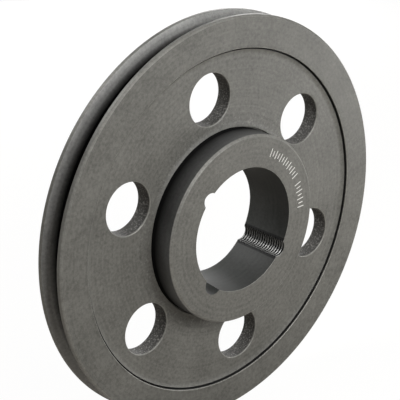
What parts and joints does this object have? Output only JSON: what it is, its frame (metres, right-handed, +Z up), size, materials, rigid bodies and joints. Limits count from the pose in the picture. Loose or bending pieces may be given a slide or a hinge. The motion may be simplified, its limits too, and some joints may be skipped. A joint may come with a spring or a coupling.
{
  "type": "v belt pulley",
  "caption": "Single-groove V-belt pulley in black-finished cast iron, with a round-holed web and a hub bored for a taper bush.",
  "frame": {"origin": "on the pulley's axis, in the middle plane of the belt groove", "axes": "+Y along the axis of rotation, from the boss that takes the large end of the taper bush towards the flush back; +Z up"},
  "size_m": [0.2294, 0.0318, 0.2294],
  "materials": {
    "black_iron": "matt black phosphate on grey iron"
  },
  "bodies": {
    "root": {"front_flange": "black_iron", "rear_flange": "black_iron", "rim_band": "black_iron", "web": "black_iron", "hub": "black_iron"}
  },
  "joints": []
}
